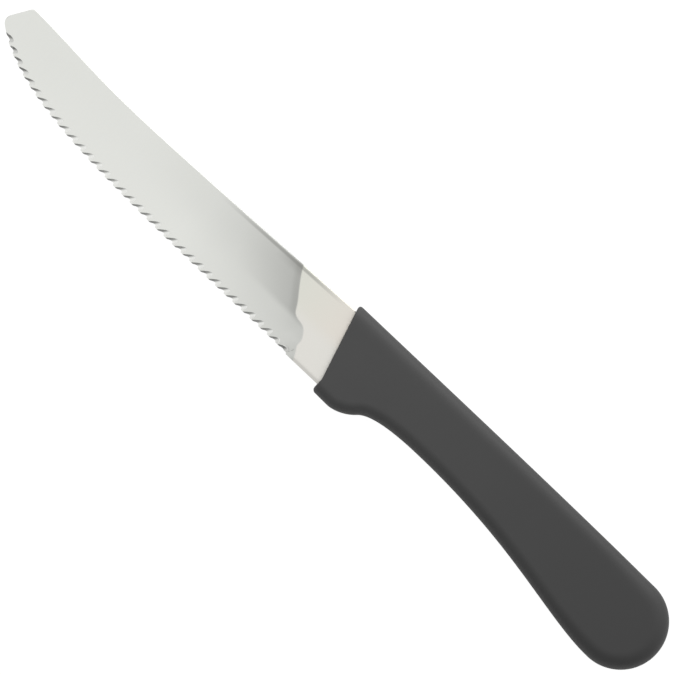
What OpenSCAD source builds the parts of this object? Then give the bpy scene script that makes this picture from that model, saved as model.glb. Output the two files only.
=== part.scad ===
// A steak knife that lies on its side: a serrated blade of sheet steel with a blunt round
// nose, and a plastic handle that is moulded around the blade's hidden tang.
// +X runs from the handle to the tip, +Y from the spine to the cutting edge, and +Z up
// from the surface that the knife lies on. The origin is on that surface, under the
// middle of the knife's length and of the handle's height.

/* [Blade] */
// Length in front of the handle, to the nose's corner before it is rounded
blade_l = 108.4; // [96:0.1:124]
// Height at the heel, from the spine to the cutting edge
blade_h = 18.8; // [17.5:0.1:19.6]
// Thickness of the sheet
blade_t = 1.2; // [1:0.05:1.6]
// Thickness that the taper grind leaves at the cutting edge
edge_t = 0.2; // [0.16:0.01:0.3]
// Thickness of the spine at the tip
tip_t = 0.9; // [0.8:0.05:1.2]
// How far the spine runs below the top edge of the handle
spine_drop = 1.8; // [1.4:0.1:2.4]
// Depth of the hollow in the spine
spine_dip = 1.7; // [1:0.1:2.5]
// Height of the nose above the heel's edge
nose_h = 12.2; // [11:0.1:14]
// How far the spine's end lies behind the nose
nose_slant = 4; // [2:0.1:5]
// Radius of the nose
nose_r = 2; // [1:0.1:2.6]
// Radius where the spine turns into the nose
spine_corner_r = 1.6; // [0.6:0.1:2]
// Length of the spine that is left unground in front of the handle
plunge_l = 15.1; // [12:0.1:18]
// Height of the small bevel along the unground heel
heel_bevel = 1; // [0.6:0.1:1.5]
// Thickness that the small bevel leaves at the heel
heel_t = 0.7; // [0.5:0.05:0.9]

/* [Serrations] */
// Distance from one tooth to the next
tooth_pitch = 2.83; // [2.4:0.01:3.4]
// Width of the flat that is left on each tooth
tooth_flat = 0.15; // [0.1:0.01:0.4]
// Depth of the gullets in the cutting edge
gullet_deep = 0.5; // [0.3:0.05:0.7]
// Height that the scallops reach up the face
scallop_rise = 1.75; // [1.4:0.05:2.4]
// Lean of the scallops toward the handle
scallop_lean = 37; // [20:1:45]
// Distance of the first tooth from the handle's front
plain_edge = 5; // [4:0.1:8]

/* [Tang] */
// Length of the tang behind the handle's front
tang_l = 76; // [60:1:84]
// Height of the tang
tang_h = 9; // [7:0.1:10]
// Height of the tang's middle above the middle of the handle
tang_up = 3.6; // [3:0.1:4.2]
// How far the blade's shoulders sit inside the handle
shoulder_in = 2.5; // [1.5:0.1:5]
// Diameter of the holes that the plastic flows through
lock_hole_d = 5; // [3:0.1:5.5]
// Gap between the steel and the plastic
tang_fit = 0.05; // [0.02:0.01:0.1]

/* [Handle] */
// Length along the top edge, from the butt to the front
handle_l = 108.1; // [100:0.1:125]
// Height at the butt
handle_h = 23.5; // [23:0.1:27]
// Thickness
handle_t = 11.5; // [9.5:0.1:14]
// Height of the grip where it is narrowest
grip_h = 16.4; // [15.8:0.1:18]
// Distance of the narrowest place behind the front
grip_back = 34.3; // [31:0.1:40]
// Height of the guard
guard_h = 22.6; // [21.8:0.1:23]
// Distance of the guard's lowest place behind the front
guard_back = 10.7; // [10:0.1:12.5]
// Steepest angle of the curve between grip and guard
guard_angle = 46; // [38:1:54]
// Slant of the front face
front_angle = 16.5; // [8:0.5:18]
// Height of the square stretch below the slanted front
front_square = 3.6; // [2.5:0.1:4.2]
// Radius of the butt's outline
butt_r = 11.5; // [11.2:0.05:11.75]
// Edge radius around the butt
butt_round = 4.6; // [3:0.1:5]
// Edge radius along the top edge and the grip
side_round = 3.2; // [2:0.1:4]
// Edge radius at the guard
guard_round = 1.9; // [1.2:0.1:2.2]
// Radius of the two front corners
front_corner_r = 1; // [0.6:0.1:1.6]

/* [Hidden] */

// Overrun of every cut past the solid that it cuts
over = 2;
// Fineness of the round cuts, of the drawn curves and of the rounded edges
fine = 48;
curve_steps = 24;
arc_steps = 12;
round_steps = 6;
// Facets across a scallop, and how far its trough runs on past the blade's face, in degrees
scallop_steps = 6;
scallop_past = 6;

// Levels across the knife, measured from the middle of the handle's height
top_y = -handle_h / 2;
bottom_y = handle_h / 2;
spine_y = top_y + spine_drop;
heel_y = spine_y + blade_h;
nose_y = heel_y - nose_h;
tang_y = -tang_up;
tang_top = tang_y - tang_h / 2;
tang_bottom = tang_y + tang_h / 2;
// Shares of the blade's length and of its height from spine to heel
crest_share = 0.645;
crest_in_share = 0.17;
crest_out_share = 0.13;
spine_out_shares = [0.224, 0.3];
spine_in_shares = [0.834, 0.39];
tip_level_share = 0.09;
belly_from_share = 0.225;
belly_shares = [0.721, 0.898];
belly_drop_share = 0.0186;
belly_turn_share = 0.1215;
// The edge of the grind: shares of plunge_l from the front and of blade_h from the spine
plunge_shares = [
    [1.45, -0.5], [1.2, -0.2], [1, 0.117], [0.74, 0.406], [0.617, 0.545], [0.4, 0.596],
    [0.28, 0.721], [0.266, 0.827], [0.19, 0.93], [0.12, 1.1], [0.1, 1.4]
];
// Where the heel's bevel ends in the grind, where the lower grind starts, and where the
// taper grind leaves the edge at its full fineness
heel_end_share = 0.3;
crease_share = 0.555;
level_edge_share = 0.645;
level_drop_share = 0.075;

// The lock holes along the tang
lock_hole_shares = [0.42, 0.84];

// The underside of the grip: how far each end runs level, as a share of the way between
under_level_shares = [0.213, 0.52];
// The same for the top edge, which droops a little toward the butt
top_level_shares = [0.06, 0.75];
// The guard's curve: its steepest place as shares of the way from grip to guard, and its reach
steep_shares = [0.715, 0.5];
steep_reach_shares = [0.106, 0.107];
grip_level_share = 0.45;
guard_level_share = 0.09;
// Where the edge radius of the butt has become that of the side, as shares of the handle
round_end_share = 0.76;
round_guard_share = 0.17;
// The guard's underside rises a little toward the front
front_rise_share = 0.012;

half_t = blade_t / 2;
half_edge = edge_t / 2;

function mix(a, b, s) = a + (b - a) * s;

// Point at share s of a Bezier curve with any number of control points
function bezier(p, s) =
    len(p) == 1 ? p[0] : bezier([for (i = [1 : len(p) - 1]) mix(p[i - 1], p[i], s)], s);

// Steps along a Bezier curve, its end left out
function curve(p, steps) = [for (i = [0 : steps - 1]) bezier(p, i / steps)];

// Points on an arc, its end left out
function arc(c, r, from, to, steps) =
    [for (i = [0 : steps - 1]) let (a = mix(from, to, i / steps)) c + r * [cos(a), sin(a)]];

function unit(v) = v / norm(v);

// The arc of radius r that rounds the corner b between a and c
function corner(a, b, c, r, steps) =
    let (
        u = unit(a - b),
        v = unit(c - b),
        half = acos(u * v) / 2,
        mid = b + unit(u + v) * r / sin(half),
        start = b + u * r / tan(half) - mid,
        end = b + v * r / tan(half) - mid,
        a0 = atan2(start.y, start.x),
        turn = atan2(start.x * end.y - start.y * end.x, start * end)
    )
    [for (i = [0 : steps]) mid + r * [cos(a0 + turn * i / steps), sin(a0 + turn * i / steps)]];

// A smooth line through the points p, its ends left out
function smooth(p, steps) = [
    for (i = [1 : len(p) - 3], k = [0 : steps - 1])
        let (s = k / steps, a = p[i - 1], b = p[i], c = p[i + 1], d = p[i + 2])
        (2 * b + (c - a) * s + (2 * a - 5 * b + 4 * c - d) * s * s
            + (3 * b - a - 3 * c + d) * s * s * s) / 2
];

// The front face of the handle at the level y
front_kink_y = guard_h + top_y - front_square;
function front_x(y) = -(min(y, front_kink_y) - top_y) * tan(front_angle);

// Half the blade's thickness after grinding, at the point p, in front of the plunge
taper_along = (blade_t - tip_t) / 2 / (blade_l - plunge_l);
level_edge = [blade_l * level_edge_share, heel_y - blade_h * level_drop_share];
taper_across =
    (half_t - taper_along * (level_edge.x - plunge_l) - half_edge) / (level_edge.y - spine_y);
function upper_half(p) =
    half_t - taper_along * (p.x - plunge_l) - taper_across * (p.y - spine_y);
crease_y = spine_y + blade_h * crease_share;
crease_half = upper_half([plunge_l, crease_y]);
lower_across = (crease_half - half_edge) / (heel_y - crease_y);
function lower_half(p) = crease_half - lower_across * (p.y - crease_y);
function ground_half(p) = min(upper_half(p), lower_half(p));

// The spine, from the handle to the tip
crest = [blade_l * crest_share, spine_y + spine_dip];
spine_end = [blade_l - nose_slant, spine_y + spine_dip * tip_level_share];
spine_pts = concat(
    curve(
        [
            [0, spine_y],
            [blade_l * spine_out_shares[0], spine_y + spine_dip * spine_out_shares[1]],
            [crest.x - blade_l * crest_in_share, crest.y],
            crest
        ],
        arc_steps
    ),
    curve(
        [
            crest,
            [crest.x + blade_l * crest_out_share, crest.y],
            [blade_l * spine_in_shares[0], spine_y + spine_dip * spine_in_shares[1]],
            spine_end
        ],
        arc_steps
    )
);

// The cutting edge before the teeth are ground, from the plain heel to the nose
nose = [blade_l, nose_y];
belly_start = [blade_l * belly_from_share, heel_y - blade_h * belly_drop_share];
belly_pts = curve(
    [
        belly_start,
        [blade_l * belly_shares[0], belly_start.y],
        [blade_l * belly_shares[1], heel_y - blade_h * belly_turn_share],
        nose
    ],
    curve_steps
);
edge_pts = concat([[plain_edge, belly_start.y]], belly_pts, [nose]);

// Outline of the steel: spine, nose, edge, heel, shoulders and tang
shoulder_top = [-shoulder_in, spine_y];
shoulder_bottom = [front_x(heel_y) - shoulder_in, heel_y];
function shoulder_at(y) = mix(shoulder_top, shoulder_bottom, (y - spine_y) / blade_h).x;
tang_end = [[-tang_l, tang_bottom], [-tang_l, tang_top]];
tang_r = tang_h / 2 - tang_fit;
nose_turn = corner(spine_end, nose, edge_pts[len(edge_pts) - 2], nose_r, round_steps);
spine_turn = corner(spine_pts[len(spine_pts) - 1], spine_end, nose, spine_corner_r, round_steps);
blade_outline = concat(
    spine_pts,
    spine_turn,
    nose_turn,
    [for (i = [len(edge_pts) - 2 : -1 : 0]) edge_pts[i]],
    [[plain_edge + belly_start.y - heel_y, heel_y], shoulder_bottom, [shoulder_at(tang_bottom), tang_bottom]],
    corner([0, tang_bottom], tang_end[0], tang_end[1], tang_r, arc_steps),
    corner(tang_end[0], tang_end[1], [0, tang_top], tang_r, arc_steps),
    [[shoulder_at(tang_top), tang_top], shoulder_top]
);

// The room that the plastic leaves for the steel
function grown(y, side) = y + side * tang_fit;
pocket_end = [[-tang_l - tang_fit, grown(tang_bottom, 1)], [-tang_l - tang_fit, grown(tang_top, -1)]];
pocket_outline = concat(
    [
        [over, grown(spine_y, -1)],
        [over, grown(heel_y, 1)],
        [shoulder_bottom.x - tang_fit, grown(heel_y, 1)],
        [shoulder_at(tang_bottom) - tang_fit, grown(tang_bottom, 1)]
    ],
    corner([0, pocket_end[0].y], pocket_end[0], pocket_end[1], tang_r, arc_steps),
    corner(pocket_end[0], pocket_end[1], [0, pocket_end[1].y], tang_r, arc_steps),
    [
        [shoulder_at(tang_top) - tang_fit, grown(tang_top, -1)],
        [shoulder_top.x - tang_fit, grown(spine_y, -1)]
    ]
);

// The two long sides of the handle's outline, butt to front, with as many points in each
butt_mid = [butt_r - handle_l, bottom_y - butt_r];
grip_low = [-grip_back, top_y + grip_h];
guard_low = [-guard_back, top_y + guard_h];
steep = [mix(grip_low.x, guard_low.x, steep_shares[0]), mix(grip_low.y, guard_low.y, steep_shares[1])];
steep_way = [cos(guard_angle), sin(guard_angle)];
grip_reach = guard_low.x - grip_low.x;
under_reach = grip_low.x - butt_mid.x;
front_low = [over, guard_low.y - guard_h * front_rise_share];
under_side = concat(
    arc(butt_mid, butt_r, 180, 90, arc_steps),
    curve(
        [
            [butt_mid.x, bottom_y],
            [butt_mid.x + under_reach * under_level_shares[0], bottom_y],
            [grip_low.x - under_reach * under_level_shares[1], grip_low.y],
            grip_low
        ],
        curve_steps
    ),
    curve(
        [
            grip_low,
            [grip_low.x + grip_reach * grip_level_share, grip_low.y],
            steep - steep_way * grip_reach * steep_reach_shares[0],
            steep
        ],
        arc_steps
    ),
    curve(
        [
            steep,
            steep + steep_way * grip_reach * steep_reach_shares[1],
            [guard_low.x - grip_reach * guard_level_share, guard_low.y],
            guard_low
        ],
        arc_steps
    ),
    [guard_low, front_low]
);
top_side = concat(
    arc(butt_mid, butt_r, 180, 270, arc_steps),
    curve(
        [
            [butt_mid.x, butt_mid.y - butt_r],
            [butt_mid.x + under_reach * top_level_shares[0], butt_mid.y - butt_r],
            [grip_low.x - under_reach * top_level_shares[1], top_y],
            [grip_low.x, top_y]
        ],
        curve_steps
    ),
    [
        for (i = [0 : arc_steps * 2])
            [mix(grip_low.x, guard_low.x, i / (arc_steps * 2)), top_y]
    ],
    [[over, top_y]]
);
side_count = len(under_side);
handle_ring = concat(under_side, [for (i = [side_count - 1 : -1 : 1]) top_side[i]]);
ring_count = len(handle_ring);

// The edge radius changes along the handle
function edge_round(x) = lookup(x, [
    [-handle_l, butt_round],
    [-handle_l * round_end_share, side_round],
    [-handle_l * round_guard_share, side_round],
    [-guard_back, guard_round]
]);
function top_round(x) = lookup(x, [[-handle_l, butt_round], [-handle_l * round_end_share, side_round]]);
function ring_round(i) =
    i < side_count ? edge_round(handle_ring[i].x) : top_round(handle_ring[i].x);

// Direction out of the handle at point i of its outline
function outward(i) =
    let (
        before = handle_ring[(i + ring_count - 1) % ring_count],
        after = handle_ring[(i + 1) % ring_count],
        way = unit(after - before)
    )
    [-way.y, way.x];

// The knife stands in its own frame: middle of its length over the origin, lying at z 0
tip_x = max([for (p = blade_outline) p.x]);
module in_frame() {
    translate([(handle_l - tip_x) / 2, 0, handle_t / 2]) children();
}

// One slab whose flat lower side is a plane through the point p at the height z
module above_plane(p, z, across, along) {
    size = blade_l + handle_l;
    translate([p.x, p.y, z])
        rotate([-atan(across), atan(along), 0])
        translate([-size, -size, 0])
        cube([size * 2, size * 2, size]);
}

// What the taper grind, the lower grind and the heel's bevel take off one face
module face_grinds() {
    far = blade_l + over;
    line = smooth([for (s = plunge_shares) [plunge_l * s.x, spine_y + blade_h * s.y]], round_steps);
    intersection() {
        union() {
            above_plane([plunge_l, spine_y], half_t, taper_across, taper_along);
            above_plane([plunge_l, crease_y], crease_half, lower_across, 0);
        }
        translate([0, 0, -over])
            linear_extrude(handle_t)
            polygon(concat(line, [[far, line[len(line) - 1].y], [far, line[0].y]]));
    }
    intersection() {
        above_plane([0, heel_y - heel_bevel], half_t, (blade_t - heel_t) / 2 / heel_bevel, 0);
        translate([shoulder_bottom.x + over, crease_y, -over])
            cube([plunge_l * heel_end_share - shoulder_bottom.x - over, blade_h, handle_t]);
    }
}

// Cutter for one scallop, at the distance s along the cutting edge
module scallop(s) {
    p = edge_at(s);
    way = edge_at(s + tooth_flat) - edge_at(s - tooth_flat);
    half = ground_half(p);
    reach = scallop_rise / cos(scallop_lean);
    deep = gullet_deep / cos(scallop_lean);
    climb = half * 2 / (reach - deep);
    depth = half * 2 + climb * deep;
    width = (tooth_pitch * cos(scallop_lean) - tooth_flat) / 2;
    r = (width * width + depth * depth) / (depth * 2);
    side = asin(width / r) + scallop_past;
    translate([p.x, p.y, -half - climb * deep])
        rotate([0, 0, atan2(way.y, way.x) - 90 - scallop_lean])
        rotate([0, -atan(climb), 0])
        rotate([90, 0, 90])
        translate([0, 0, -over])
        linear_extrude(reach + over * 2)
        polygon(concat(
            [for (i = [0 : scallop_steps]) let (a = side * (i * 2 / scallop_steps - 1)) r * [sin(a), 1 - cos(a)]],
            [[r * sin(side), over], [-r * sin(side), over]]
        ));
}

// Distances along the cutting edge, from the first tooth
edge_runs = [
    for (i = 0, s = 0; i < len(edge_pts);
        s = s + (i + 1 < len(edge_pts) ? norm(edge_pts[i + 1] - edge_pts[i]) : 0), i = i + 1) s
];
edge_long = edge_runs[len(edge_runs) - 1];
function edge_at(s) = [
    lookup(s, [for (i = [0 : len(edge_pts) - 1]) [edge_runs[i], edge_pts[i].x]]),
    lookup(s, [for (i = [0 : len(edge_pts) - 1]) [edge_runs[i], edge_pts[i].y]])
];
tooth_count = floor((edge_long - nose_r) / tooth_pitch);

module blade() {
    color("gainsboro")
    in_frame()
    difference() {
        translate([0, 0, -half_t]) linear_extrude(blade_t) polygon(blade_outline);
        face_grinds();
        mirror([0, 0, 1]) face_grinds();
        for (i = [0 : tooth_count - 1]) scallop(tooth_pitch * (i + 1 / 2));
        for (share = lock_hole_shares)
            translate([-tang_l * share, tang_y, 0])
            cylinder(h = handle_t, d = lock_hole_d, center = true, $fn = fine);
    }
}

// The handle's full rounded body, which runs on past its front face
module handle_body() {
    levels = [
        for (k = [round_steps : -1 : 0]) [k, -1],
        for (k = [0 : round_steps]) [k, 1]
    ];
    points = [
        for (level = levels, i = [0 : ring_count - 1])
            let (
                a = 90 * level[0] / round_steps,
                r = ring_round(i),
                p = handle_ring[i] - outward(i) * r * (1 - cos(a))
            )
            [p.x, p.y, level[1] * (handle_t / 2 - r + r * sin(a))]
    ];
    last = (len(levels) - 1) * ring_count;
    sides = [
        for (k = [0 : len(levels) - 2], i = [0 : ring_count - 1], half = [0, 1])
            let (
                j = (i + 1) % ring_count,
                a = k * ring_count + i,
                b = k * ring_count + j,
                c = a + ring_count,
                d = b + ring_count
            )
            half == 0 ? [a, b, d] : [a, d, c]
    ];
    cap = [
        for (i = [0 : side_count - 2], half = [0, 1])
            let (
                a = i,
                b = i + 1,
                c = (ring_count - i) % ring_count,
                d = ring_count - i - 1
            )
            half == 0 ? [a, d, b] : [a, c, d]
    ];
    low_cap = [for (f = cap) if (f[0] != f[2] && f[1] != f[2]) f];
    high_cap = [for (f = low_cap) [f[0] + last, f[2] + last, f[1] + last]];
    polyhedron(points, concat(sides, low_cap, high_cap));
}

// Everything behind the slanted front face, with its two rounded corners
module behind_front() {
    back = -handle_l - over;
    face_top = [front_x(top_y), top_y];
    kink = [front_x(front_kink_y), front_kink_y];
    under_share = (kink.x - guard_low.x) / (front_low.x - guard_low.x);
    low_corner = [kink.x, mix(guard_low.y, front_low.y, under_share)];
    top_turn = corner([back, top_y], face_top, kink, front_corner_r, round_steps);
    low_turn = corner(kink, low_corner, guard_low, front_corner_r, round_steps);
    translate([0, 0, -handle_t])
        linear_extrude(handle_t * 2)
        polygon(concat(
            [[back, top_y - over], [top_turn[0].x, top_y - over]],
            top_turn,
            [kink],
            low_turn,
            [[low_turn[round_steps].x, bottom_y + over], [back, bottom_y + over]]
        ));
}

module handle() {
    color("dimgray")
    in_frame()
    difference() {
        intersection() {
            handle_body();
            behind_front();
        }
        difference() {
            translate([0, 0, -half_t - tang_fit])
                linear_extrude(blade_t + tang_fit * 2)
                polygon(pocket_outline);
            for (share = lock_hole_shares)
                translate([-tang_l * share, tang_y, 0])
                cylinder(h = handle_t, d = lock_hole_d - tang_fit * 2, center = true, $fn = fine);
        }
    }
}

blade();
handle();
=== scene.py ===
import math

import bmesh
import bpy
import numpy as np
from mathutils.geometry import delaunay_2d_cdt
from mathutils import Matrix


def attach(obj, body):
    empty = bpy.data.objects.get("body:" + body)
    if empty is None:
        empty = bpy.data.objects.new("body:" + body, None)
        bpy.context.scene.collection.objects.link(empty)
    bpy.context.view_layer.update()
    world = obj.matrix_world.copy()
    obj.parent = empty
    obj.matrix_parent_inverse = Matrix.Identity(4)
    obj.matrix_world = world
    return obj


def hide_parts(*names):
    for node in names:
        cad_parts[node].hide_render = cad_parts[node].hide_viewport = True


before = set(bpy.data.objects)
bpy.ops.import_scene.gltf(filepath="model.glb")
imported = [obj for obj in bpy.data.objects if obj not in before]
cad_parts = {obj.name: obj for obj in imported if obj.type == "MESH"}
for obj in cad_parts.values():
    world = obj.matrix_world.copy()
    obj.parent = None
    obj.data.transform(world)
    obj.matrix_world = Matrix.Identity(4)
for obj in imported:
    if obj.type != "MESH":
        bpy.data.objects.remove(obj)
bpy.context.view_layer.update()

# Sizes in millimetres, the same as those of the solids that the pieces stand for
MM = 0.001
BLADE_L = 108.4
BLADE_H = 18.8
BLADE_T = 1.2
EDGE_T = 0.2
TIP_T = 0.9
SPINE_DROP = 1.8
SPINE_DIP = 1.7
NOSE_H = 12.2
NOSE_SLANT = 4.0
NOSE_R = 2.0
SPINE_CORNER_R = 1.6
PLUNGE_L = 15.1
HEEL_BEVEL = 1.0
TOOTH_PITCH = 2.83
TOOTH_FLAT = 0.15
GULLET_DEEP = 0.5
SCALLOP_RISE = 1.75
SCALLOP_LEAN = math.radians(37)
PLAIN_EDGE = 5.0
TANG_L = 76.0
TANG_H = 9.0
TANG_UP = 3.6
SHOULDER_IN = 2.5
LOCK_HOLE_D = 5.0
TANG_FIT = 0.05
HANDLE_L = 108.1
HANDLE_H = 23.5
HANDLE_T = 11.5
GRIP_H = 16.4
GRIP_BACK = 34.3
GUARD_H = 22.6
GUARD_BACK = 10.7
GUARD_ANGLE = math.radians(46)
FRONT_ANGLE = math.radians(16.5)
FRONT_SQUARE = 3.6
BUTT_R = 11.5
BUTT_ROUND = 4.6
SIDE_ROUND = 3.2
FRONT_CORNER_R = 1.0

# Levels across the knife, from the middle of the handle's height
TOP_Y = -HANDLE_H / 2
BOTTOM_Y = HANDLE_H / 2
SPINE_Y = TOP_Y + SPINE_DROP
HEEL_Y = SPINE_Y + BLADE_H
TOOTH_Y = HEEL_Y - BLADE_H * 0.0186
CREASE_Y = SPINE_Y + BLADE_H * 0.555
HALF_T = BLADE_T / 2
HALF_EDGE = EDGE_T / 2

# Softening of the solids' edges and faces that only a close look shows
HEEL_T = 0.84
SPINE_SOFT = 0.25
FRONT_SOFT = 0.3
GUARD_SOFT = 2.9
SEAM_WIDE = 0.16
SEAM_DEEP = 0.04
WHEEL_R = 36.0
THIN_WALL = 0.02
HEEL_BEVEL_END = 4.0
HEEL_BEVEL_FADE = 1.2


# Plane curves
def bezier(points, shares):
    shares = np.asarray(shares, float).reshape(-1, 1)
    points = [np.asarray(p, float) for p in points]
    while len(points) > 1:
        points = [a + (b - a) * shares for a, b in zip(points, points[1:])]
    return points[0]


def arc(centre, radius, start, end, steps):
    turn = np.radians(np.linspace(start, end, steps + 1))[:-1]
    return np.asarray(centre) + radius * np.column_stack([np.cos(turn), np.sin(turn)])


def unit(v):
    return v / np.linalg.norm(v)


def corner(a, b, c, radius, steps):
    """The arc that rounds the corner b between a and c."""
    a, b, c = (np.asarray(p, float) for p in (a, b, c))
    u = unit(a - b)
    v = unit(c - b)
    half = math.acos(u @ v) / 2
    middle = b + unit(u + v) * radius / math.sin(half)
    start = b + u * radius / math.tan(half) - middle
    end = b + v * radius / math.tan(half) - middle
    first = math.atan2(start[1], start[0])
    turn = math.atan2(start[0] * end[1] - start[1] * end[0], start @ end)
    angles = first + turn * np.linspace(0, 1, steps + 1)
    return middle + radius * np.column_stack([np.cos(angles), np.sin(angles)])


def smooth_line(points, steps):
    """A smooth line through the points, its two end points left out."""
    points = np.asarray(points, float)
    s = np.linspace(0, 1, steps, endpoint=False).reshape(-1, 1)
    parts = []
    for a, b, c, d in zip(points, points[1:], points[2:], points[3:]):
        square = 2 * a - 5 * b + 4 * c - d
        cube = 3 * b - a - 3 * c + d
        parts.append((2 * b + (c - a) * s + square * s**2 + cube * s**3) / 2)
    return np.vstack(parts)


def runs(line):
    """Distance run along a line at each of its points."""
    steps = np.linalg.norm(np.diff(line, axis=0), axis=1)
    return np.concatenate([[0], np.cumsum(steps)])


def along(line, distances):
    """The points of a line at the given distances along it."""
    ran = runs(line)
    return np.column_stack([np.interp(distances, ran, line[:, k]) for k in (0, 1)])


def way_along(line, distances, reach=0.4):
    ways = along(line, np.asarray(distances) + reach) - along(line, np.asarray(distances) - reach)
    return ways / np.linalg.norm(ways, axis=1, keepdims=True)


def distance_to(line, x, y):
    """Distance of every point from an open line."""
    best = np.full(x.shape, 1e9)
    for a, b in zip(line, line[1:]):
        ab = b - a
        share = np.clip(((x - a[0]) * ab[0] + (y - a[1]) * ab[1]) / (ab @ ab), 0, 1)
        best = np.minimum(best, np.hypot(x - a[0] - ab[0] * share, y - a[1] - ab[1] * share))
    return best


def ease(value):
    value = np.clip(value, 0, 1)
    return value * value * (3 - 2 * value)


def front_x(y):
    """Where the handle's front face lies at each level: slanted, and square below."""
    kink_y = GUARD_H + TOP_Y - FRONT_SQUARE
    return -(np.minimum(y, kink_y) - TOP_Y) * math.tan(FRONT_ANGLE)


# The blade's outline: spine, nose, cutting edge before the teeth, heel
CREST = np.array([BLADE_L * 0.645, SPINE_Y + SPINE_DIP])
SPINE_END = np.array([BLADE_L - NOSE_SLANT, SPINE_Y + SPINE_DIP * 0.09])
NOSE = np.array([BLADE_L, HEEL_Y - NOSE_H])
SPINE_RISE = [
    [0, SPINE_Y],
    [BLADE_L * 0.224, SPINE_Y + SPINE_DIP * 0.3],
    [CREST[0] - BLADE_L * 0.17, CREST[1]],
    CREST,
]
SPINE_FALL = [
    CREST,
    [CREST[0] + BLADE_L * 0.13, CREST[1]],
    [BLADE_L * 0.834, SPINE_Y + SPINE_DIP * 0.39],
    SPINE_END,
]
BELLY = [
    [BLADE_L * 0.225, TOOTH_Y],
    [BLADE_L * 0.721, TOOTH_Y],
    [BLADE_L * 0.898, HEEL_Y - BLADE_H * 0.1215],
    NOSE,
]
# How many points of each corner's arc belong to the spine's and to the edge's line
SPINE_ARC = 9
EDGE_ARC = 13
spine_before = bezier(SPINE_FALL, [11 / 12])[0]
belly_before = bezier(BELLY, [23 / 24])[0]
spine_turn = corner(spine_before, SPINE_END, NOSE, SPINE_CORNER_R, 16)
nose_turn = corner(SPINE_END, NOSE, belly_before, NOSE_R, 24)
top_line = np.vstack([
    [[-SHOULDER_IN, SPINE_Y]],
    bezier(SPINE_RISE, np.linspace(0, 1, 60, endpoint=False)),
    bezier(SPINE_FALL, np.linspace(0, 11 / 12, 60)),
    spine_turn[:SPINE_ARC],
])
nose_line = np.vstack([spine_turn[SPINE_ARC - 1:], nose_turn[:-EDGE_ARC + 1]])
tooth_line = np.vstack([
    [[PLAIN_EDGE, TOOTH_Y]],
    bezier(BELLY, np.linspace(0, 23 / 24, 160)),
    nose_turn[:-EDGE_ARC - 1:-1],
])
heel_corner = [PLAIN_EDGE + TOOTH_Y - HEEL_Y, HEEL_Y]
shoulder_bottom = [float(front_x(HEEL_Y)) - SHOULDER_IN, HEEL_Y]
low_line = np.vstack([[shoulder_bottom, heel_corner], tooth_line])
blunt_line = np.vstack([top_line, nose_line[1:]])

# The knife's own frame: middle of its length over the origin, lying on the ground
TIP_X = float(max(nose_line[:, 0]))
SHIFT = np.array([(HANDLE_L - TIP_X) / 2, 0, HANDLE_T / 2])

# Half the blade's thickness after the taper grind
TAPER_ALONG = (BLADE_T - TIP_T) / 2 / (BLADE_L - PLUNGE_L)
LEVEL_EDGE = [BLADE_L * 0.645, HEEL_Y - BLADE_H * 0.075]
LEVEL_HALF = HALF_T - TAPER_ALONG * (LEVEL_EDGE[0] - PLUNGE_L)
TAPER_ACROSS = (LEVEL_HALF - HALF_EDGE) / (LEVEL_EDGE[1] - SPINE_Y)


def upper_half(x, y):
    return HALF_T - TAPER_ALONG * (x - PLUNGE_L) - TAPER_ACROSS * (y - SPINE_Y)


CREASE_HALF = upper_half(PLUNGE_L, CREASE_Y)
LOWER_ACROSS = (CREASE_HALF - HALF_EDGE) / (HEEL_Y - CREASE_Y)


def ground_half(x, y):
    return np.minimum(upper_half(x, y), CREASE_HALF - LOWER_ACROSS * (y - CREASE_Y))


# The line where the grind runs out before the handle
PLUNGE_SHARES = [
    [1.45, -0.5], [1.2, -0.2], [1, 0.117], [0.74, 0.406], [0.617, 0.545], [0.4, 0.596],
    [0.28, 0.721], [0.266, 0.827], [0.19, 0.93], [0.12, 1.1], [0.1, 1.4],
]
plunge_line = smooth_line([[PLUNGE_L * a, SPINE_Y + BLADE_H * b] for a, b in PLUNGE_SHARES], 8)


def past_plunge(x, y):
    """Distance in front of the line where the grind runs out, negative behind it."""
    ahead = x > np.interp(y, plunge_line[:, 1], plunge_line[:, 0])
    return np.where(ahead, 1, -1) * distance_to(plunge_line, x, y)


def face_height(x, y, ahead, from_blunt):
    """Height of the blade's face over its middle, without the teeth."""
    depth = HALF_T - ground_half(x, y)
    run_out = np.sqrt(2 * WHEEL_R * np.maximum(depth, 0.02))
    face = HALF_T - depth * (1 - (1 - np.clip(ahead / run_out, 0, 1)) ** 2)
    slope = (BLADE_T - HEEL_T) / 2 / HEEL_BEVEL
    bevel = HALF_T - slope * (y - HEEL_Y + HEEL_BEVEL) + ease((x - HEEL_BEVEL_END) / HEEL_BEVEL_FADE)
    face = np.minimum(face, np.maximum(bevel, HALF_EDGE))
    # The spine is eased by a narrow bevel where the grinding starts
    window = ease((x + 3) / 14) * (1 - ease((x - 20) / 22))
    face = face - window * 0.1 * ease((1.15 - from_blunt) / 1.1)
    soft = np.minimum(SPINE_SOFT, face * 0.7)
    inside = np.clip(soft - from_blunt, 0, soft)
    return face - soft + np.sqrt(np.maximum(soft**2 - inside**2, 0))


# Where the blade's columns meet its cutting edge, and how each scallop is cut
COS_LEAN = math.cos(SCALLOP_LEAN)
TAN_LEAN = math.tan(SCALLOP_LEAN)
TOOTH_START = runs(low_line)[2]
HALF_SCALLOP = (TOOTH_PITCH * COS_LEAN - TOOTH_FLAT) / 2
NOSE_STEPS = (1.0, 0.72, 0.5, 0.36, 0.25, 0.185, 0.125, 0.073, 0.0335, 0.0085, 0)


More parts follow.
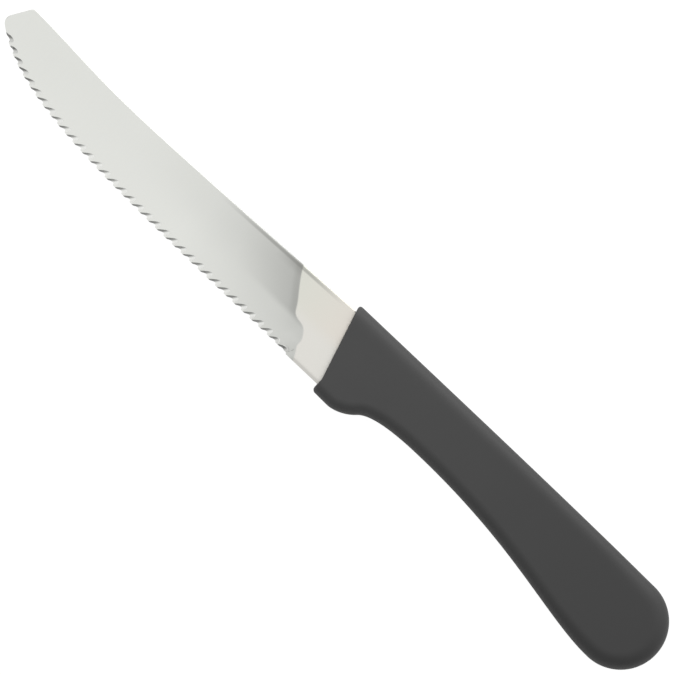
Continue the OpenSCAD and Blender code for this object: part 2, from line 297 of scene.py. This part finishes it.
def blade_columns():
    """Places along low_line, each column's scallop or -1, and its offset from the scallop's middle."""
    total = runs(low_line)[-1]
    edge_long = runs(np.vstack([tooth_line[:-EDGE_ARC], [NOSE]]))[-1]
    count = int((edge_long - NOSE_R) / TOOTH_PITCH)
    places = list(np.linspace(0, runs(low_line)[1], 28)) + [TOOTH_START - 0.25, TOOTH_START]
    scallops = [-1] * len(places)
    offsets = [0.0] * len(places)
    for k in range(count):
        middle = TOOTH_START + TOOTH_PITCH * (k + 0.5)
        for offset in np.linspace(-HALF_SCALLOP, HALF_SCALLOP, 14):
            places.append(middle + offset / COS_LEAN)
            scallops.append(k)
            offsets.append(offset)
    last = places[-1]
    for share in (0.2, 0.4, 0.6, 0.8):
        places.append(last + (total - NOSE_STEPS[0] - last) * share)
    places += [total - step for step in NOSE_STEPS]
    scallops += [-1] * (len(places) - len(scallops))
    offsets += [0.0] * (len(places) - len(offsets))
    return np.array(places), np.array(scallops), np.array(offsets)


def top_places(places):
    """The place on the spine's line for every place on the edge's line."""
    low_x = along(low_line, places)[:, 0]
    low_ran = runs(low_line)
    top_ran = runs(top_line)
    # Columns stand upright between these two levels, and fan out to the ends of the blade beyond them
    left = 20.0
    right = 80.0
    low_left, low_right = np.interp([left, right], low_line[:-EDGE_ARC, 0], low_ran[:-EDGE_ARC])
    top_left, top_right = np.interp([left, right], top_line[:-SPINE_ARC, 0], top_ran[:-SPINE_ARC])
    found = np.interp(low_x, top_line[:-SPINE_ARC, 0], top_ran[:-SPINE_ARC])
    found = np.where(low_x < left, top_left * places / low_left, found)
    share = (places - low_right) / (low_ran[-1] - low_right)
    return np.where(low_x > right, top_right + (top_ran[-1] - top_right) * share, found)


def new_object(name, points, faces):
    """A mesh object from points in millimetres of the knife's own frame."""
    mesh = bpy.data.meshes.new(name)
    points = (np.asarray(points) + SHIFT) * MM
    mesh.from_pydata(points.tolist(), [], faces)
    mesh.validate()
    mesh.update()
    made = bpy.data.objects.new(name, mesh)
    bpy.context.scene.collection.objects.link(made)
    return made


def close_up(made, angle):
    """Joins double points, turns faces outward and shades smooth up to an angle, with crisp creases."""
    work = bmesh.new()
    work.from_mesh(made.data)
    bmesh.ops.remove_doubles(work, verts=work.verts, dist=1e-7)
    bmesh.ops.dissolve_degenerate(work, edges=work.edges, dist=1e-7)
    bmesh.ops.recalc_face_normals(work, faces=work.faces)
    for face in work.faces:
        face.smooth = True
    crisp = work.verts.layers.float.get("crisp")
    for edge in work.edges:
        if len(edge.link_faces) == 2 and edge.calc_face_angle(0) > math.radians(angle):
            edge.smooth = False
        if crisp and edge.verts[0][crisp] > 0.5 and edge.verts[1][crisp] > 0.5:
            edge.smooth = False
    work.to_mesh(made.data)
    work.free()


def filled(outline, holes):
    """Triangles inside an outline and outside its holes, with the points that they use."""
    points = []
    edges = []
    for loop in [outline] + holes:
        start = len(points)
        points += [tuple(map(float, p)) for p in loop]
        edges += [(start + i, start + (i + 1) % len(loop)) for i in range(len(loop))]
    made = delaunay_2d_cdt(points, edges, [], 0, 1e-6)
    spots = [tuple(p) for p in made[0]]
    kept = []
    for face in made[2]:
        middle = np.mean([spots[i] for i in face], axis=0)
        if inside_loop(middle, outline) and not any(inside_loop(middle, hole) for hole in holes):
            kept.append(list(face))
    return spots, kept


def inside_loop(p, loop):
    inside = False
    for a, b in zip(loop, list(loop[1:]) + [loop[0]]):
        if (a[1] > p[1]) != (b[1] > p[1]):
            if p[0] < (b[0] - a[0]) * (p[1] - a[1]) / (b[1] - a[1]) + a[0]:
                inside = not inside
    return inside


def tang_plate():
    """The hidden tang with its two lock holes: points and faces."""
    low = -TANG_UP + TANG_H / 2
    high = -TANG_UP - TANG_H / 2
    radius = TANG_H / 2 - TANG_FIT
    overlap = 0.3
    root = overlap - SHOULDER_IN - math.tan(FRONT_ANGLE) * (np.array([high, low]) - SPINE_Y)
    outline = np.vstack([
        [[root[0], high], [root[1], low]],
        corner([0, low], [-TANG_L, low], [-TANG_L, high], radius, 16),
        corner([-TANG_L, low], [-TANG_L, high], [0, high], radius, 16),
    ])
    turn = np.radians(np.arange(0, 360, 7.5))
    ring = np.column_stack([np.cos(turn), np.sin(turn)]) * LOCK_HOLE_D / 2
    holes = [ring + [-TANG_L * share, -TANG_UP] for share in (0.42, 0.84)]
    spots, faces = filled(list(outline), [list(h) for h in holes])
    count = len(spots)
    points = [[x, y, HALF_T] for x, y in spots] + [[x, y, -HALF_T] for x, y in spots]
    made = faces + [[i + count for i in reversed(f)] for f in faces]
    start = 0
    for loop in [outline] + holes:
        size = len(loop)
        for i in range(size):
            a = start + i
            b = start + (i + 1) % size
            made.append([a, b, b + count, a + count])
        start += size
    return points, made


# The blade, column by column from the cutting edge to the spine
def scallop_cuts(scallops, offsets):
    """For every column its scallop's climb and drop, and how far up the blade the cut starts and ends."""
    middles = along(low_line, TOOTH_START + TOOTH_PITCH * (scallops + 0.5))
    x = middles[:, 0]
    y = middles[:, 1]
    half = ground_half(x, y)
    face_half = np.maximum(face_height(x, y, past_plunge(x, y), np.full(len(x), 20.0)), half)
    # The scallops are shallower at the heel, where the wheel comes in, and toward the nose
    strength = np.interp(scallops, [0, 2], [0.4, 1.0]) * (1 - 0.25 * ease((scallops - 28) / 8))
    reach = SCALLOP_RISE * strength / COS_LEAN
    deep = GULLET_DEEP * strength / COS_LEAN
    climb = (half * 2 + LOWER_ACROSS * SCALLOP_RISE * strength) / (reach - deep)
    depth = half * 2 + climb * deep
    radius = (HALF_SCALLOP**2 + depth**2) / (depth * 2)
    sag = radius - np.sqrt(radius**2 - offsets**2)
    drop = half + climb * deep - sag
    cut_start = np.maximum(COS_LEAN * (deep - sag / climb), 0)
    cut_end = (face_half + drop) / (climb / COS_LEAN - LOWER_ACROSS)
    return climb, drop, cut_start, np.maximum(cut_end, cut_start + 0.05)


def blade_rows(cut_start, cut_end, height):
    """Distances of every column's points from its foot, closer together in the scallop and at the spine."""
    band = np.full(len(height), 3.2)
    rows = [cut_start + (cut_end - cut_start) * share for share in (0, 0.3, 0.62, 1)]
    rows += [cut_end + (band - cut_end) * share for share in (0.12, 0.32, 0.62, 1)]
    count = 26
    rows += [band + (height - 1.25 - band) * (k / count) for k in range(1, count + 1)]
    spine_rows = [0.95, 0.7, 0.5, 0.36]
    spine_rows += [SPINE_SOFT * (1 - math.cos(math.radians(angle))) for angle in (90, 75, 60, 45, 30, 15, 0)]
    rows += [height - back for back in spine_rows]
    return np.array(rows).T


def blade_grid(places, cut_start, cut_end):
    """The blade's points seen from above, column by column, and their distances from the column's foot."""
    low = along(low_line, places)
    high = along(top_line, top_places(places))
    total = places[-1]
    height = np.linalg.norm(high - low, axis=1)
    up = blade_rows(cut_start, cut_end, height)
    share = up / height[:, None]
    grid = low[:, None, :] + (high - low)[:, None, :] * share[:, :, None]
    # The nose bulges a little past the straight line between its two corners
    bulge = along(nose_line, runs(nose_line)[-1] * (1 - share[-1])) - grid[-1]
    fade = np.clip(1 - (total - places) / 7, 0, 1)
    grid = grid + bulge[None, :, :] * fade[:, None, None]
    # Near the edge the columns lean as the scallops do
    lean = ease((places - 3) / (TOOTH_START - 3)) * ease((total - places) / 2.9)
    slide = np.where(up < 1.9, up, 1.9 * (1 - ease((up - 1.9) / 7)))
    ways = way_along(low_line, np.minimum(places, total - 2.6))
    grid = grid - ways[:, None, :] * (slide * TAN_LEAN * lean[:, None])[:, :, None]
    return grid[:, :, 0], grid[:, :, 1], up


def sheet_faces(columns, across):
    """Faces of a closed sheet whose front and back are grids of points, the back's after the front's."""
    grid = np.arange(columns * across).reshape(columns, across)
    back = columns * across
    faces = []
    for i in range(columns - 1):
        for j in range(across - 1):
            quad = [int(k) for k in (grid[i, j], grid[i + 1, j], grid[i + 1, j + 1], grid[i, j + 1])]
            faces.append(quad)
            faces.append([k + back for k in reversed(quad)])
    rim = np.concatenate([grid[:, 0], grid[-1, 1:], grid[-2::-1, -1], grid[0, -2:0:-1]]).tolist()
    for a, b in zip(rim, rim[1:] + rim[:1]):
        faces.append([a, a + back, b + back, b])
    return faces


def make_blade():
    places, scallops, offsets = blade_columns()
    on_tooth = scallops >= 0
    climb, drop, cut_start, cut_end = scallop_cuts(scallops, offsets)
    cut_start = np.where(on_tooth, cut_start, 0)
    cut_end = np.where(on_tooth, cut_end, HEEL_BEVEL)
    x, y, up = blade_grid(places, cut_start, cut_end)

    from_blunt = np.minimum(distance_to(blunt_line, x, y), 20)
    from_blunt[:, -1] = 0
    from_blunt[-1, :] = 0
    ahead = past_plunge(x, y)
    face = face_height(x, y, ahead, from_blunt)
    # Past its upper end each cut climbs faster, to stay clear of the face
    cut = climb[:, None] * up / COS_LEAN - drop[:, None]
    cut = cut + 0.5 * np.maximum(up - cut_end[:, None] - 0.3, 0)
    above = 9.0
    cut = np.where(on_tooth[:, None], cut, above)
    front = np.maximum(np.minimum(face, cut), THIN_WALL - face)
    plate_points, plate_faces = tang_plate()
    points = np.vstack([
        np.column_stack([x.ravel(), y.ravel(), front.ravel()]),
        np.column_stack([x.ravel(), y.ravel(), -face.ravel()]),
        plate_points,
    ])
    faces = sheet_faces(*x.shape)
    faces += [[k + x.size * 2 for k in f] for f in plate_faces]
    made = new_object("serrated_blade", points, faces)

    # What the finish follows: the grind's end, the spine and the scallops
    blank = np.zeros(len(plate_points))
    crisp = np.zeros(x.shape)
    crisp[:, 3] = on_tooth
    fields = {
        "past_plunge": np.concatenate([ahead.ravel(), ahead.ravel(), blank - 9]),
        "from_blunt": np.concatenate([from_blunt.ravel(), from_blunt.ravel(), blank + 9]),
        "below_face": np.concatenate([(face - front).ravel(), np.zeros(x.size), blank]),
        "crisp": np.concatenate([crisp.ravel(), np.zeros(x.size), blank]),
    }
    for name, values in fields.items():
        layer = made.data.attributes.new(name, "FLOAT", "POINT")
        layer.data.foreach_set("value", values.astype(np.float32))
    close_up(made, 35)
    return made


# The handle's outline, butt to front, in pairs of points that face each other
def handle_sides():
    """The side under the handle and the one over it up to the guard, and the guard's lowest point."""
    butt = np.array([BUTT_R - HANDLE_L, BOTTOM_Y - BUTT_R])
    grip = np.array([-GRIP_BACK, TOP_Y + GRIP_H])
    guard = np.array([-GUARD_BACK, TOP_Y + GUARD_H])
    steep = np.array([grip[0] + (guard[0] - grip[0]) * 0.715, grip[1] + (guard[1] - grip[1]) * 0.5])
    way = np.array([math.cos(GUARD_ANGLE), math.sin(GUARD_ANGLE)])
    reach = guard[0] - grip[0]
    run = grip[0] - butt[0]
    round_steps = 28
    long_steps = 60
    short_steps = 20
    long_shares = np.linspace(0, 1, long_steps, endpoint=False)
    short_shares = np.linspace(0, 1, short_steps, endpoint=False)
    under = np.vstack([
        arc(butt, BUTT_R, 180, 90, round_steps),
        bezier([
            [butt[0], BOTTOM_Y],
            [butt[0] + run * 0.213, BOTTOM_Y],
            [grip[0] - run * 0.52, grip[1]],
            grip,
        ], long_shares),
        bezier([
            grip,
            [grip[0] + reach * 0.45, grip[1]],
            steep - way * reach * 0.106,
            steep,
        ], short_shares),
        bezier([
            steep,
            steep + way * reach * 0.107,
            [guard[0] - reach * 0.09, guard[1]],
            guard,
        ], short_shares),
    ])
    over = np.vstack([
        arc(butt, BUTT_R, 180, 270, round_steps),
        bezier([
            [butt[0], butt[1] - BUTT_R],
            [butt[0] + run * 0.06, butt[1] - BUTT_R],
            [grip[0] - run * 0.75, TOP_Y],
            [grip[0], TOP_Y],
        ], long_shares),
        np.column_stack([
            np.linspace(grip[0], guard[0], short_steps * 2, endpoint=False),
            np.full(short_steps * 2, TOP_Y),
        ]),
    ])
    return under, over, guard


def handle_stations():
    """Both sides up to the front, how far each station lies behind it and how much it leans with it."""
    under, over, guard = handle_sides()
    front_low_x = float(front_x(BOTTOM_Y))
    slope = -GUARD_H * 0.012 / (GUARD_BACK + 2)
    turn = np.radians([90, 80, 70, 60, 50, 41, 32, 24, 16, 8, 0])
    behind = np.linspace(front_low_x - guard[0], FRONT_CORNER_R, 9)[:-1]
    behind = np.concatenate([behind, FRONT_CORNER_R * (1 - np.cos(turn))])
    low_x = front_low_x - behind
    low_y = guard[1] + slope * (low_x - guard[0])
    share = 1 - (behind - FRONT_CORNER_R) / (behind[0] - FRONT_CORNER_R)
    high_x = guard[0] + (-FRONT_CORNER_R - guard[0]) * np.minimum(share, 1)
    high_x = np.where(share > 1, -behind, high_x)
    under = np.vstack([under, np.column_stack([low_x, low_y])])
    over = np.vstack([over, np.column_stack([high_x, np.full(len(behind), TOP_Y)])])
    blend = np.concatenate([np.zeros(len(under) - len(behind)), np.clip(share, 0, 1)])
    behind = np.concatenate([np.full(len(under) - len(behind), 99.0), behind])
    return under, over, behind, blend


def outward(line, other, side):
    """Unit directions out of the handle along one of its two long sides."""
    padded = np.vstack([other[1:2], line, line[-1:] + (line[-1:] - line[-2:-1])])
    ways = padded[2:] - padded[:-2]
    ways = ways / np.linalg.norm(ways, axis=1, keepdims=True)
    return np.column_stack([-ways[:, 1], ways[:, 0]]) * side


def under_round(x):
    return np.interp(
        x,
        [-HANDLE_L, -HANDLE_L * 0.76, -HANDLE_L * 0.17, -GUARD_BACK],
        [BUTT_ROUND, SIDE_ROUND, SIDE_ROUND, GUARD_SOFT],
    )


def over_round(x):
    return np.interp(x, [-HANDLE_L, -HANDLE_L * 0.76], [BUTT_ROUND, SIDE_ROUND])


def eased_corner(behind, radius):
    """How far a rounded front corner draws the surface in, at a distance behind the front."""
    inside = np.clip(radius - behind, 0, radius)
    return radius - np.sqrt(radius**2 - inside**2)


def side_columns(line, out, radius, behind):
    """One long side in columns, from the parting line round the edge to the flat of the handle."""
    corner_in = eased_corner(behind, FRONT_CORNER_R)
    soft_in = eased_corner(behind, FRONT_SOFT)
    seam_fade = np.clip(behind / FRONT_CORNER_R, 0, 1)
    columns = []
    for z, deep in ((0, SEAM_DEEP), (SEAM_WIDE / 2, 0)):
        spot = line - out * (corner_in + deep * seam_fade)[:, None]
        columns.append(np.column_stack([spot, np.full(len(line), z)]))
    turn_steps = 12
    for k in range(turn_steps + 1):
        a = math.pi / 2 * k / turn_steps
        spot = line - out * (radius * (1 - math.cos(a)) + corner_in * math.cos(a))[:, None]
        z = HANDLE_T / 2 - radius + radius * math.sin(a) - soft_in * math.sin(a)
        columns.append(np.column_stack([spot, z]))
    return columns


def front_face(rim, start):
    """The front face with the slot that the blade comes out of: points, and faces counted from start."""
    levels = np.linspace(SPINE_Y - TANG_FIT, HEEL_Y + TANG_FIT, 26)
    gap = HALF_T + TANG_FIT
    slot = [[y, gap] for y in levels] + [[y, -gap] for y in levels[::-1]]
    spots, front = filled([list(p) for p in rim], [slot])
    points = [[float(front_x(y)), y, z] for y, z in spots]
    faces = [[k + start for k in f] for f in front]
    mouth = start + len(points)
    size = len(slot)
    bottom = mouth + size
    for depth in (0, SHOULDER_IN + TANG_FIT):
        points += [[float(front_x(y)) - depth, y, z] for y, z in slot]
    for i in range(size):
        j = (i + 1) % size
        faces.append([mouth + i, mouth + j, bottom + j, bottom + i])
    for i in range(len(levels) - 1):
        faces.append([bottom + i, bottom + i + 1, bottom + size - 2 - i, bottom + size - 1 - i])
    return points, faces


def make_handle():
    under, over, behind, blend = handle_stations()
    under_columns = side_columns(under, outward(under, over, 1), under_round(under[:, 0]), behind)
    over_columns = side_columns(over, outward(over, under, -1), over_round(over[:, 0]), behind)
    low_edge = under_columns[-1]
    high_edge = over_columns[-1]
    # Columns across the flat of the handle, the second of them where the front turns square
    kink_y = GUARD_H + TOP_Y - FRONT_SQUARE
    kink_share = (low_edge[-1, 1] - kink_y) / (low_edge[-1, 1] - high_edge[-1, 1])
    shares = [kink_share / 2, kink_share] + list(np.linspace(kink_share, 1, 16)[1:-1])
    crossing = [low_edge + (high_edge - low_edge) * share for share in shares]
    half_loop = np.array(under_columns + crossing + over_columns[::-1]).transpose(1, 0, 2)
    # In front of the guard the stations lean over until they lie along the slanted front
    slanted = front_x(half_loop[:, :, 1]) - behind[:, None]
    weight = blend[:, None]
    half_loop[:, :, 0] = half_loop[:, :, 0] * (1 - weight) + slanted * weight
    mirrored = half_loop[:, -2:0:-1] * [1, 1, -1]
    loops = np.concatenate([half_loop, mirrored], axis=1)
    stations, around = loops.shape[:2]
    points = list(loops.reshape(-1, 3))
    faces = []
    for i in range(stations - 1):
        for j in range(around):
            k = (j + 1) % around
            faces.append([i * around + j, i * around + k, (i + 1) * around + k, (i + 1) * around + j])
    more_points, more_faces = front_face(loops[-1][:, 1:], len(points))
    made = new_object("moulded_handle", points + more_points, faces + more_faces)
    close_up(made, 24)
    return made


# Shader maths
class Value:
    """A socket that takes part in expressions."""

    def __init__(self, shading, socket):
        self.shading = shading
        self.socket = socket

    def _math(self, operation, *values):
        return self.shading.make("ShaderNodeMath", {"operation": operation}, dict(enumerate(values)))

    def __add__(self, other):
        return self._math("ADD", self, other)

    def __radd__(self, other):
        return self._math("ADD", other, self)

    def __sub__(self, other):
        return self._math("SUBTRACT", self, other)

    def __rsub__(self, other):
        return self._math("SUBTRACT", other, self)

    def __mul__(self, other):
        return self._math("MULTIPLY", self, other)

    def __rmul__(self, other):
        return self._math("MULTIPLY", other, self)

    def __truediv__(self, other):
        return self._math("DIVIDE", self, other)

    def __rtruediv__(self, other):
        return self._math("DIVIDE", other, self)

    def eased(self, start, end):
        """0 up to start, 1 from end, and smooth between."""
        return self.shading.make(
            "ShaderNodeMapRange",
            {"interpolation_type": "SMOOTHSTEP"},
            {"Value": self, "From Min": start, "From Max": end},
        )

    def ramp(self, stops):
        return self.shading.make("ShaderNodeValToRGB", {"stops": stops}, {"Fac": self})


class Shading:
    """A material or world whose nodes are made one call at a time."""

    def __init__(self, owner):
        owner.use_nodes = True
        self.owner = owner
        self.tree = owner.node_tree
        self.tree.nodes.clear()

    def make(self, kind, settings, sockets, output=0):
        node = self.tree.nodes.new(kind)
        for name, value in settings.items():
            if name == "stops":
                self._set_stops(node.color_ramp, value)
            else:
                setattr(node, name, value)
        for name, value in sockets.items():
            if isinstance(value, Value):
                self.tree.links.new(value.socket, node.inputs[name])
            else:
                node.inputs[name].default_value = value
        return Value(self, node.outputs[output]) if len(node.outputs) else node

    def _set_stops(self, ramp, stops):
        while len(ramp.elements) < len(stops):
            ramp.elements.new(1.0)
        for element, (place, colour) in zip(ramp.elements, stops):
            element.position = place
            element.color = (*colour, 1)

    def mix(self, share, first, second, blend="MIX"):
        return self.make(
            "ShaderNodeMix",
            {"data_type": "RGBA", "blend_type": blend},
            {0: share, 6: first, 7: second},
            2,
        )

    def noise(self, place, stretch, detail, roughness):
        scaled = self.make("ShaderNodeVectorMath", {"operation": "MULTIPLY"}, {0: place, 1: stretch})
        sockets = {"Vector": scaled, "Scale": 1.0, "Detail": detail, "Roughness": roughness}
        return self.make("ShaderNodeTexNoise", {}, sockets)

    def attribute(self, name):
        return self.make("ShaderNodeAttribute", {"attribute_name": name}, {}, "Fac")

    def axis(self, place, name):
        return self.make("ShaderNodeSeparateXYZ", {}, {0: place}, name)

    def toward(self, way, direction):
        sockets = {0: way, 1: direction}
        return self.make("ShaderNodeVectorMath", {"operation": "DOT_PRODUCT"}, sockets, "Value")

    def ray(self, name):
        return self.make("ShaderNodeLightPath", {}, {}, name)


# Painted reflection and shade on the ground steel: tones by the distance ahead of the grind's run-out, as a
# share of GRIND_LONG
GRIND_LONG = 60.0
STEEL_TINT = (0.99, 1.0, 0.955)
UPPER_PAINTED_REFLECTION = ((0.0, 0.455), (0.06, 0.495), (0.16, 0.56), (0.27, 0.635), (0.42, 0.69), (0.8, 0.745))
LOWER_PAINTED_REFLECTION = ((0.0, 0.595), (0.05, 0.62), (0.15, 0.66), (0.3, 0.71), (0.5, 0.76))

# Colours of the steel and the plastic, among them a painted highlight on the scallops, painted shade along
# the run-out, on a patch and toward the handle's butt, and a painted dark reflection along the spine
HEEL_BACK = (0.712, 0.664, 0.608, 1)
HEEL_FRONT = (0.668, 0.67, 0.61, 1)
HEEL_LOW = (0.7, 0.686, 0.645, 1)
SCALLOP_PAINTED_HIGHLIGHT = (0.93, 0.935, 0.905, 1)
RUN_OUT_PAINTED_SHADE = (0.27, 0.27, 0.25, 1)
SPINE_PAINTED_REFLECTION = (0.22, 0.22, 0.205, 1)
PATCH_PAINTED_SHADE = (0.2, 0.2, 0.185, 1)
PLASTIC_DARK = (0.0452, 0.0452, 0.0452, 1)
PLASTIC_PALE = (0.0507, 0.0507, 0.0505, 1)
PLASTIC_BUTT_PAINTED_SHADE = (0.0383, 0.0383, 0.0383, 1)
PLASTIC_SPECK = (0.034, 0.034, 0.034, 1)


def tinted(tones):
    return [(place, tuple(tone * t for t in STEEL_TINT)) for place, tone in tones]


def steel_material():
    material = bpy.data.materials.new("ground stainless steel")
    shade = Shading(material)
    place = shade.make("ShaderNodeTexCoord", {}, {}, "Object")
    x = shade.axis(place, "X") / MM
    y = shade.axis(place, "Y") / MM
    ahead = shade.attribute("past_plunge")
    from_blunt = shade.attribute("from_blunt")
    ground = ahead.eased(-0.1, 0.3)
    polished_and_highlight = shade.attribute("below_face").eased(0.0, 0.02)

    # Grinding lines run across the blade, rolling lines along the unground heel
    across = shade.noise(place, (7000, 160, 160), 3, 0.6)
    coarse = shade.noise(place, (1500, 60, 60), 2, 0.5)
    rolled = shade.noise(place, (220, 5200, 5200), 3, 0.6)
    cloud = shade.noise(place, (90, 90, 90), 3, 0.5)
    lines = rolled + ground * (across * 0.7 + coarse * 0.3 - rolled)

    # Painted reflection and shade: the grind is painted dark above and bright below, with a sharp change
    # near the heel and a wide one further on
    upper = (ahead / GRIND_LONG).ramp(tinted(UPPER_PAINTED_REFLECTION))
    lower = (ahead / GRIND_LONG).ramp(tinted(LOWER_PAINTED_REFLECTION))
    below = (y + (cloud - 0.5) * 0.6).eased(0.0, 2.0)
    below = below + x.eased(10.0, 30.0) * ((y + 2).eased(-4.0, 8.0) - below)
    colour = shade.mix(below, upper, lower)

    # The heel keeps the warm tone of rolled steel
    heel = shade.mix((x + 6) / 20, HEEL_BACK, HEEL_FRONT)
    heel = shade.mix(y.eased(-3.0, 1.5), heel, HEEL_LOW)
    colour = shade.mix(ground, heel, colour)

    # Painted shade along the run-out, a painted dark reflection along the spine's bevel, and painted shade
    # on a patch where the two meet
    run_out = ahead.eased(-0.15, 0.35) * (1 - ahead.eased(0.9, 2.3)) * (1 - y.eased(-1.0, 2.0))
    colour = shade.mix(run_out * 0.25, colour, RUN_OUT_PAINTED_SHADE)
    # Painted dark reflection along the spine's bevel
    window = x.eased(1.0, 15.0) * (1 - x.eased(24.0, 44.0))
    spine = from_blunt.eased(0.2, 0.55) * (1 - from_blunt.eased(0.85, 1.35))
    colour = shade.mix(spine * window * 0.55, colour, SPINE_PAINTED_REFLECTION)
    # Painted shade on a patch where the run-out meets the spine's bevel
    patch = x.eased(11.5, 15.0) * (1 - x.eased(17.0, 24.0)) * (1 - from_blunt.eased(1.0, 3.2))
    colour = shade.mix(patch * ground * 0.3, colour, PATCH_PAINTED_SHADE)
    # Polished steel in the scallops, partly real polish and partly a painted highlight that brightens their
    # colour
    colour = shade.mix(polished_and_highlight * 0.7, colour, SCALLOP_PAINTED_HIGHLIGHT)
    tone = 0.965 + lines * 0.07
    streaks = shade.make("ShaderNodeCombineColor", {}, {0: tone, 1: tone, 2: tone})
    colour = shade.mix(1.0, colour, streaks, "MULTIPLY")

    rough = 0.16 + ground * (0.1 - polished_and_highlight * 0.12) + lines * 0.1 + cloud * 0.04
    bump = shade.make("ShaderNodeBump", {}, {"Strength": 0.35, "Distance": 0.004 * MM, "Height": lines})
    surface = shade.make(
        "ShaderNodeBsdfPrincipled",
        {},
        {"Base Color": colour, "Metallic": 1.0, "Roughness": rough, "Normal": bump},
    )
    shade.make("ShaderNodeOutputMaterial", {}, {"Surface": surface})
    return material


def plastic_material():
    material = bpy.data.materials.new("moulded grey plastic")
    shade = Shading(material)
    place = shade.make("ShaderNodeTexCoord", {}, {}, "Object")
    grain = shade.noise(place, (5200, 5200, 5200), 2, 0.6)
    speck = shade.noise(place, (1500, 1500, 1500), 2, 0.5)
    cloud = shade.noise(place, (55, 55, 55), 3, 0.5)
    # Painted shade: the plastic is painted darker toward the butt
    away_from_butt_shade = shade.axis(place, "X").eased(-0.115, 0.01)
    front = shade.mix((cloud - 0.5) * 2.2 + 0.5, PLASTIC_DARK, PLASTIC_PALE)
    colour = shade.mix(away_from_butt_shade, PLASTIC_BUTT_PAINTED_SHADE, front)
    colour = shade.mix(speck.eased(0.66, 0.8) * 0.35, colour, PLASTIC_SPECK)
    rough = 0.44 + grain * 0.12 + cloud * 0.08
    texture = grain * 0.7 + speck * 0.5
    bump = shade.make("ShaderNodeBump", {}, {"Strength": 0.3, "Distance": 0.03 * MM, "Height": texture})
    surface = shade.make(
        "ShaderNodeBsdfPrincipled",
        {},
        {"Base Color": colour, "Roughness": rough, "Specular IOR Level": 0.32, "Normal": bump},
    )
    shade.make("ShaderNodeOutputMaterial", {}, {"Surface": surface})
    return material


# The studio: a white floor, a wide soft sky that is darker on one side, and one soft key lamp
def make_floor():
    size = 3.0
    mesh = bpy.data.meshes.new("floor")
    level = -0.02 * MM
    corners = [(-size, -size, level), (size, -size, level), (size, size, level), (-size, size, level)]
    mesh.from_pydata(corners, [], [(0, 1, 2, 3)])
    floor = bpy.data.objects.new("floor", mesh)
    bpy.context.scene.collection.objects.link(floor)
    material = bpy.data.materials.new("white floor")
    shade = Shading(material)
    seen = shade.ray("Is Camera Ray")
    matte = shade.make("ShaderNodeBsdfDiffuse", {}, {"Color": (0.9, 0.9, 0.9, 1)})
    lit = shade.make("ShaderNodeEmission", {}, {"Color": (1, 1, 1, 1), "Strength": 1.08})
    surface = shade.make("ShaderNodeMixShader", {}, {0: seen * 0.9, 1: matte, 2: lit})
    shade.make("ShaderNodeOutputMaterial", {}, {"Surface": surface})
    mesh.materials.append(material)


def make_sky():
    world = bpy.data.worlds.new("studio")
    bpy.context.scene.world = world
    shade = Shading(world)
    way = shade.make("ShaderNodeTexCoord", {}, {}, "Generated")
    # Darker on the side that the cutting edge faces, and less so for matte surfaces
    near = shade.toward(way, (-0.6, 0.8, 0.0)).eased(0.14, 0.66)
    left = shade.toward(way, (0.73, 0.68, 0.0)).eased(0.16, 0.7)
    seen = shade.ray("Is Camera Ray")
    matte = shade.ray("Is Diffuse Ray")
    sky = 1.07 - near * (0.82 - matte * 0.32)
    sky = sky * (1 - left * 0.4) * (1 - matte * 0.2)
    strength = sky + seen * (1 - sky)
    backdrop = shade.make("ShaderNodeBackground", {}, {"Color": (1, 1, 1, 1), "Strength": strength})
    shade.make("ShaderNodeOutputWorld", {}, {"Surface": backdrop})


def make_lamp(name, place, size, watts):
    """A soft rectangular lamp that shines on the middle of the knife."""
    lamp = bpy.data.lights.new(name, "AREA")
    lamp.shape = "RECTANGLE"
    lamp.size, lamp.size_y = size
    lamp.energy = watts
    made = bpy.data.objects.new(name, lamp)
    made.location = place
    x, y, z = place
    made.rotation_euler = (math.atan2(math.hypot(x, y), z), 0, math.atan2(-x, y) + math.pi)
    bpy.context.scene.collection.objects.link(made)
    return made


def make_camera():
    distance = 0.891
    camera = bpy.data.cameras.new("camera")
    camera.type = "PERSP"
    camera.lens = 200
    camera.sensor_width = 36
    camera.clip_start = 0.01
    made = bpy.data.objects.new("camera", camera)
    made.location = (-1.37 * MM, -2.49 * MM, HANDLE_T / 2 * MM + distance)
    made.rotation_euler = (0, 0, math.radians(223.417))
    bpy.context.scene.collection.objects.link(made)
    bpy.context.scene.camera = made


make_camera()
blade = make_blade()
blade.data.materials.append(steel_material())
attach(blade, "root")
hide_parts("blade")
handle = make_handle()
handle.data.materials.append(plastic_material())
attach(handle, "root")
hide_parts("handle")
make_floor()
make_sky()
make_lamp("key", (0.12, -1.0, 0.28), (1.2, 0.5), 4.0)
fill = make_lamp("fill", (0.14, -0.08, 0.36), (0.25, 0.25), 0.7)
fill.visible_glossy = False
bpy.context.scene.view_settings.view_transform = "Standard"
